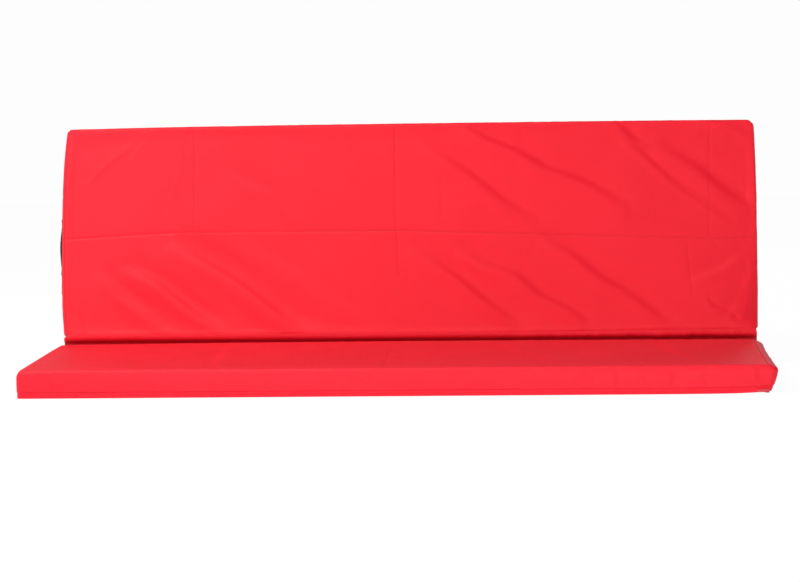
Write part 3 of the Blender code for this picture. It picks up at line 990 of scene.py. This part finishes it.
def make_foam(panel):
    """The landing foam as one closed block with soft edges, a little inside the cover."""
    within = [1 - FOAM_CLEAR / half for half in HALF]
    shape = bmesh.new()

    def add_faces(points):
        verts = [[shape.verts.new(point) for point in row] for row in panel.world(points)]
        for row, after in zip(verts, verts[1:]):
            for i in range(len(row) - 1):
                shape.faces.new((row[i], after[i], after[i + 1], row[i + 1]))

    grid_a, grid_b = spaced_grid(0.03, 0.02, 0.02)
    top = SEAM - FOAM_SINK
    rise = FOAM_ROUNDING * roll_off(grid_a, grid_b, FOAM_ROLLS)
    for height in (top + rise + 0.7 * crown(panel, grid_a, grid_b), np.full_like(grid_a, OVER_BASE)):
        x, depth = panel.plan(grid_a * within[0], grid_b * within[1], height)
        add_faces(np.stack([x, depth, height], axis=-1))
    a, b = grid_a[:, 0], grid_b[0]
    rings = [(a, np.full_like(a, side)) for side in (1, -1)]
    rings += [(np.full_like(b, side), b) for side in (1, -1)]
    for ring_a, ring_b in rings:
        levels = np.linspace(OVER_BASE, top, 12)
        add_faces(panel.wall(ring_a * within[0], ring_b * within[1], levels)[2])
    bmesh.ops.remove_doubles(shape, verts=shape.verts, dist=1e-5)
    block = add_shape(panel.core, shape, foam)
    belong(block, panel.body, "foam", f"{panel.name}_foam_core")


# Zip

LEG_STEPS = 18
FAR_STEPS = 280
TAPE_THICK = 0.0010
COIL_PITCH = 0.0015
TOOTH_SIDES = 6
CLIP_SIZE = (0.0036, 0.0022, COIL_HEIGHT)
CLIP_OVERLAP = 0.0022  # of a clip past the end of the coil
LINE_RISE = 0.0005  # between the two rows of a line that also give its way up
COIL_LEVELS = np.array([ZIP_MIDDLE, ZIP_MIDDLE + LINE_RISE])


def zip_run(reach):
    """Shares (a, b) along the zip: up the right leg, along the far edge and down the left leg."""
    corner = CORNER_RADIUS["flat"][(1, 1)]
    legs = np.concatenate([
        np.linspace(1 - reach / HALF[1], 1 - 1.2 * corner / HALF[1], LEG_STEPS),
        np.linspace(1 - corner / HALF[1], 1, RIM_POINTS),
    ])
    near = 1 - 1.2 * corner / HALF[0]
    far = np.concatenate([
        np.linspace(1, near, RIM_POINTS)[1:],
        np.linspace(near, -near, FAR_STEPS)[1:-1],
        np.linspace(-near, -1, RIM_POINTS)[:-1],
    ])
    ones = np.ones(len(legs))
    run_a = np.concatenate([ones, far, -ones])
    return run_a, np.concatenate([legs, np.ones(len(far)), legs[::-1]])


def run_points(panel, reach, heights, out):
    """Grids of panel points along the zip's run: on the cover's outline, and this far out of it."""
    points = panel.wall(*zip_run(reach), heights)[2]
    return points, points + outward(points) * out


def line_of(panel, points):
    """The world line of a strip's lowest row, with its ways up and outwards at each point."""
    line = panel.world(points[:, 0])
    up = panel.world(points[:, 1]) - line
    up /= np.linalg.norm(up, axis=1, keepdims=True)
    return line, up, np.cross(np.gradient(line, axis=0), up)


def make_zip_tape(panel, piece, low, high):
    inner, points = run_points(panel, ZIP_REACH, np.linspace(low, high, 5), -0.0006)
    steps = np.linalg.norm(np.diff(inner[:, :1], axis=0), axis=-1)
    along = np.concatenate([[[0.0]], np.cumsum(steps, axis=0)])
    plane = np.stack(np.broadcast_arrays(along, points[..., 2]), axis=-1)
    name = f"{panel.name}_{piece}"
    obj = surface(f"{name}_band", panel.world(points), plane, zip_tape, panel.is_raised)
    thicken(obj, TAPE_THICK)
    belong(obj, panel.body, "zip_tape", name)


def prism(sides, across, out, length):
    """A rounded bar along its third axis, with these radii: its points and faces."""
    levels = ((-0.5, 0.75), (-0.32, 1.0), (0.32, 1.0), (0.5, 0.75))
    turns = 2 * math.pi * np.arange(sides) / sides
    ring = np.stack([across * np.cos(turns), out * np.sin(turns)], axis=1)
    points = [(*(point * wide), share * length) for share, wide in levels for point in ring]
    faces = []
    for low in range(0, (len(levels) - 1) * sides, sides):
        for i in range(sides):
            after = (i + 1) % sides
            faces.append((low + i, low + after, low + sides + after, low + sides + i))
    faces.append(tuple(reversed(range(sides))))
    faces.append(tuple(range((len(levels) - 1) * sides, len(levels) * sides)))
    return np.array(points), faces


def copies(template, places, axes):
    """Copies of a template at these places, each with its own three axes: points and faces."""
    points, faces = template
    placed = places[:, None, :] + np.einsum("pk,nkj->npj", points, axes)
    count = len(points)
    many = [tuple(i + n * count for i in face) for n in range(len(places)) for face in faces]
    return placed.reshape(-1, 3), many


def add_copies(name, groups, material):
    """One smooth object made of several groups of copies."""
    shape = bmesh.new()
    for points, faces in groups:
        verts = [shape.verts.new(point) for point in points]
        for face in faces:
            shape.faces.new([verts[i] for i in face])
    return add_shape(name, shape, material)


def spots_along(line, normals, pitch, start):
    """Places every pitch along a line of world points, with the way along and outwards there."""
    steps = np.linalg.norm(np.diff(line, axis=0), axis=1)
    along = np.concatenate([[0], np.cumsum(steps)])
    at = np.arange(start, along[-1] - pitch / 2, pitch)

    def read(values, spots):
        return np.stack([np.interp(spots, along, values[:, k]) for k in range(3)], axis=1)

    places = read(line, at)
    way = read(line, at + 0.0005) - places
    way /= np.maximum(np.linalg.norm(way, axis=1, keepdims=True), 1e-9)
    out = read(normals, at)
    out /= np.linalg.norm(out, axis=1, keepdims=True)
    return places, way, out


def stitch_line(line, normals, pitch, start, stitch):
    """Stitches that lie along a line of points, as one group of copies."""
    places, way, out = spots_along(line, normals, pitch, start)
    return copies(stitch, places, np.stack([np.cross(way, out), out, way], axis=1))


def make_coil(panel):
    """Two interlocked rows of coil teeth, along the whole run."""
    tooth = prism(TOOTH_SIDES, COIL_PITCH * 0.24, 0.0009, COIL_HEIGHT * 0.56)
    line, up, normals = line_of(panel, run_points(panel, COIL_REACH, COIL_LEVELS, -0.0002)[1])
    groups = []
    for shift, start in ((-COIL_HEIGHT * 0.21, 0.0), (COIL_HEIGHT * 0.21, COIL_PITCH / 2)):
        places, way, out = spots_along(line, normals, COIL_PITCH, start)
        upward = np.broadcast_to(up.mean(axis=0), places.shape)
        axes = np.stack([way, out, upward], axis=1)
        groups.append(copies(tooth, places + upward * shift, axes))
    obj = add_copies(f"{panel.name}_zip_coil_teeth", groups, nylon)
    belong(obj, panel.body, "zip_coil", f"{panel.name}_zip_coil")


def make_stops(panel):
    """A folded clip over the tape at each end of the coil."""
    points = run_points(panel, COIL_REACH + CLIP_OVERLAP, COIL_LEVELS, 0.0)[1]
    for end, after, name in ((0, 1, "zip_stop_right"), (-1, -2, "zip_stop_left")):
        place = Vector(panel.world(points[end, 0]))
        way = (Vector(panel.world(points[after, 0])) - place).normalized()
        up = (Vector(panel.world(points[end, 1])) - place).normalized()
        shape = bmesh.new()
        bmesh.ops.create_cube(shape, size=1.0)
        bmesh.ops.scale(shape, vec=CLIP_SIZE, verts=shape.verts)
        edges = list(shape.edges)
        bmesh.ops.bevel(shape, geom=edges, offset=0.0006, segments=3, affect="EDGES")
        across = way.cross(up).normalized()
        turned = Matrix((way, across, way.cross(across))).transposed().to_4x4()
        bmesh.ops.transform(shape, matrix=Matrix.Translation(place) @ turned, verts=shape.verts)
        obj = add_shape(f"{panel.name}_{name}_clip", shape, enamel)
        belong(obj, panel.body, "zip_metal", f"{panel.name}_{name}")


def finish_cad_metal(panel):
    """The slider and its pull keep their CAD shape, and get the enamel."""
    for piece in ("zip_slider", "zip_pull"):
        node = frame["nodes"][f"{panel.name}_{piece}"]
        node.data.materials.clear()
        node.data.materials.append(enamel)
        for polygon in node.data.polygons:
            polygon.material_index = 0


# Carry handles

GRIP_OUT = 0.0066  # of the grip's middle from the end border
TAB_RISE = 0.014
FOLDING = 0.026  # the length over which the webbing goes from flat to folded double
FOLD_RADIUS = 0.00105
WEB_THICK = 0.0019
BORDER_BULGE = 0.0004  # of the end border at the handle
MID_HEIGHT = THICKNESS / 2


def handle_stations():
    """Places along the webbing from its middle, closer where it rises and folds."""
    outer = np.linspace(0.05, TAB_END, 60)
    return np.concatenate([-outer[::-1], np.linspace(-0.05, 0.05, 24)[1:-1], outer])


def make_handle(panel):
    """One run of webbing: flat where it is sewn down, and folded double for the grip."""
    along = handle_stations()
    reach = np.abs(along)
    half_width = WEB_WIDTH / 2
    resting = WEB_THICK / 2 + FIT
    out = resting + (GRIP_OUT - resting) * smooth(1 - reach / (GRIP_HALF + TAB_RISE))
    fold_line = half_width * (1 - smooth((GRIP_HALF + 0.010 - reach) / FOLDING))
    across = np.linspace(-half_width, half_width, 25)
    grid_line, grid_across = grid_of(fold_line, across)
    grid_out, _ = grid_of(out, across)
    grid_along, _ = grid_of(along, across)
    turned = np.clip(grid_across - grid_line, 0, None)
    on_arc = np.minimum(turned / FOLD_RADIUS, math.pi)
    past = turned - FOLD_RADIUS * on_arc
    side = np.minimum(grid_across, grid_line) + FOLD_RADIUS * np.sin(on_arc) - past
    side += (half_width - grid_line) / 2
    lift = FOLD_RADIUS * (1 - np.cos(on_arc)) - FOLD_RADIUS * (1 - grid_line / half_width)
    sway = 0.0006 * np.sin(grid_along * 55) * np.clip(1 - np.abs(grid_along) / GRIP_HALF, 0, 1)
    depth = HANDLE_DEPTH + grid_along
    share = (depth - DEPTH / 2) / HALF[1]
    wall, _ = panel.plan(-np.ones_like(share), share, MID_HEIGHT)
    points = panel.place(wall - BORDER_BULGE - grid_out - lift, depth, MID_HEIGHT + side + sway)
    plane = np.stack([grid_along, grid_across], axis=-1)
    name = f"{panel.name}_handle"
    obj = surface(f"{name}_webbing", points, plane, webbing, not panel.is_raised)
    thicken(obj, WEB_THICK, 0.0)
    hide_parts(f"{name}_tab_inner", f"{name}_tab_outer", f"{name}_grip")
    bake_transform(obj)
    make_handle_stitches(panel, wall.mean())


def make_handle_stitches(panel, wall):
    """A sewn box with a cross in it on each tab."""
    groups = []
    stitch = prism(5, 0.00035, 0.0003, 0.0027)
    out = wall - BORDER_BULGE - FIT - WEB_THICK - 0.0001
    half_high = WEB_WIDTH / 2 - 0.004
    low, high = MID_HEIGHT - half_high, MID_HEIGHT + half_high
    for way in (-1, 1):
        near = HANDLE_DEPTH + way * (GRIP_HALF + TAB_RISE + 0.003)
        far = HANDLE_DEPTH + way * (TAB_END - 0.004)
        corners = [(near, low), (far, low), (far, high), (near, high)]
        runs = list(zip(corners, corners[1:] + corners[:1])) + [corners[::2], corners[1::2]]
        for start, end in runs:
            line = np.array([(out, *start), (out, *end)])
            normals = np.array([(-1.0, 0, 0), (-1.0, 0, 0)])
            points, faces = stitch_line(line, normals, 0.0034, 0.0006, stitch)
            groups.append((panel.world(points), faces))
    obj = add_copies(f"{panel.name}_handle_stitches", groups, black_thread)
    belong(obj, panel.body, "webbing")


# Seam stitches

STITCH_PITCH = 0.0042
SEAM_ROWS = [("far", SEAM - 0.0045), ("left", SEAM - 0.0045), ("right", SEAM - 0.0045)]
SEAM_ROWS += [("hinge", BASE + 0.0045), ("far", ZIP_TOP + 0.0030)]


def make_seam_stitches(panel):
    """Top-stitching below the landing seam on three sides, along the hinge border's bottom, and
    over the zip."""
    groups = []
    stitch = prism(5, 0.0003, 0.00028, 0.0030)
    for piece, level in SEAM_ROWS:
        a, b = along_side(piece)
        keep = (1 - np.abs(b if piece in ENDS else a)) * half_length(piece) > 0.004
        points = panel.wall(a[keep], b[keep], np.array([level, level + LINE_RISE]))[2]
        low = ZIP_TOP if piece == "far" else BASE
        middle = (SEAM - level) * (level - low) / ((SEAM - low) / 2) ** 2
        points = points + outward(points) * (BORDER_PUSH * min(middle, 1.0) + 0.0001)
        line, _, normals = line_of(panel, points)
        groups.append(stitch_line(line, normals, STITCH_PITCH, 0.001, stitch))
    obj = add_copies(f"{panel.name}_seam_stitches", groups, red_thread)
    belong(obj, panel.body, "cover_red")


# Hinge strip

STRIP_BENDS = (  # of its line, behind and above the hinge line, from the raised seam down
    (0.0074, 0.0130),
    (0.0080, 0.0080),
    (0.0110, 0.0035),
    (0.0160, 0.0005),
    (0.0180, -0.0060),
    (0.0115, -0.0140),
    (0.0000, -0.0185),
    (-0.0105, -0.0150),
)
TUCKED_BENDS = 6  # how many of these bends belong to its tucked part
STRIP_ENDS = (-0.911, 0.915)  # where its tucked part ends, a little past the raised seam's ends
STRIP_COLUMNS = 420
STRIP_ROWS = 49
STRIP_WIDTH = 0.080
STRIP_PUCKER = 0.0022


def strip_lines(a):
    """The lines that the strip follows across the fold, from the raised landing seam to the flat
    one, each with the same count of points along the mat."""
    hem = THICKNESS - SEAM_GROOVE * seam_strength(a) - SEAM_DROP * (1 - roll_off(a, 0))
    near = -np.ones_like(a)
    first = raised.place(*raised.plan(a, near, SEAM), hem)
    last = flat.place(*flat.plan(a, near, SEAM), SEAM)
    lines = [first]
    for step, (back, up) in enumerate(STRIP_BENDS, 1):
        line = first + (last - first) * step / (len(STRIP_BENDS) + 1)
        if step <= TUCKED_BENDS:
            line[:, 0] += (STRIP_ENDS[1] - line[:, 0]) * smooth((a - 0.96) / 0.04)
            line[:, 0] += (STRIP_ENDS[0] - line[:, 0]) * smooth((-0.96 - a) / 0.04)
        line[:, 1] = HINGE.y + back
        line[:, 2] = HINGE.z + up
        lines.append(line)
    return np.stack(lines + [last])


def make_hinge_strip():
    """The cloth between the two landing seams: it runs on down from the raised face, rolls under
    and back into the fold, and comes up again behind the flat panel's seam."""
    a = np.linspace(-1, 1, STRIP_COLUMNS)
    t = np.linspace(0, 1, STRIP_ROWS)
    lines = strip_lines(a)
    steps = np.linalg.norm(np.diff(lines.mean(axis=1), axis=0), axis=1)
    reached = np.concatenate([[0], np.cumsum(steps)]) / steps.sum()
    at = np.clip(np.searchsorted(reached, t, side="right") - 1, 0, len(steps) - 1)
    share = ((t - reached[at]) / (reached[at + 1] - reached[at]))[:, None, None]
    rows = lines[at] * (1 - share) + lines[at + 1] * share
    for _ in range(6):
        rows[1:-1] = (rows[:-2] + 2 * rows[1:-1] + rows[2:]) / 4
    points = rows.transpose(1, 0, 2)
    plane = np.stack(grid_of(a * END, t * STRIP_WIDTH), axis=-1)
    pucker = ripple(plane * (1.0, 0.3), 0.015, 21.0)
    pucker += 0.8 * ripple(plane * (1.0, 0.4), 0.034, 23.0)
    lift = STRIP_PUCKER * pucker * np.outer(seam_strength(a), np.sin(math.pi * t) ** 0.6)
    points = points + outward(points) * lift[..., None]
    wear = 0.3 * np.exp(-np.minimum(plane[..., 1], STRIP_WIDTH - plane[..., 1]) / 0.006)
    # painted shade: the part of the strip tucked down into the fold is painted darker through its
    # crease value
    tucked = np.broadcast_to(smooth((t - 0.16) / 0.12), plane.shape[:2])
    name = "hinge_strip_cloth"
    obj = surface(name, points, plane, red_cloth, flip=True, edge=wear, crease=tucked)
    thicken(obj, CLOTH)
    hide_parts("hinge_strip")
    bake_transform(obj)


# Work order of the script

make_camera()
make_world()
make_lights()
make_floor()
red_cloth = red_cloth_material()
base_cloth = base_cloth_material()
webbing = webbing_material()
zip_tape = zip_tape_material()
enamel = enamel_material()
foam = foam_material()
nylon = moulded_material("red_nylon_coil", *ZIP_REDS, 0.38, 0.5)
red_thread = moulded_material("red_thread", *THREAD_REDS, 0.6, 0.75)
black_thread = moulded_material("black_thread", *THREAD_BLACKS, 0.5, 0.7)

flat = Panel("flat", False, 0.0)
raised = Panel("raised", True, RAISED_TURN)
make_landing(flat, FLAT_FOLDS, FLAT_CREASES, FLAT_FINE_X)
make_landing(raised, RAISED_FOLDS, RAISED_CREASES, RAISED_FINE_X, RAISED_FINE_DEPTH)
make_hinge_strip()
for panel in (flat, raised):
    make_foam(panel)
    make_base(panel)
    make_zip_tape(panel, "zip_tape_lower", FIT, ZIP_MIDDLE)
    make_zip_tape(panel, "zip_tape_upper", ZIP_MIDDLE, OVER_ZIP)
    make_coil(panel)
    make_stops(panel)
    finish_cad_metal(panel)
    make_handle(panel)
    make_seam_stitches(panel)
    for piece in LOOPS:
        make_border(panel, piece, FRONT_FOLDS if (panel is flat and piece == "far") else ())
scene.view_settings.view_transform = "Standard"
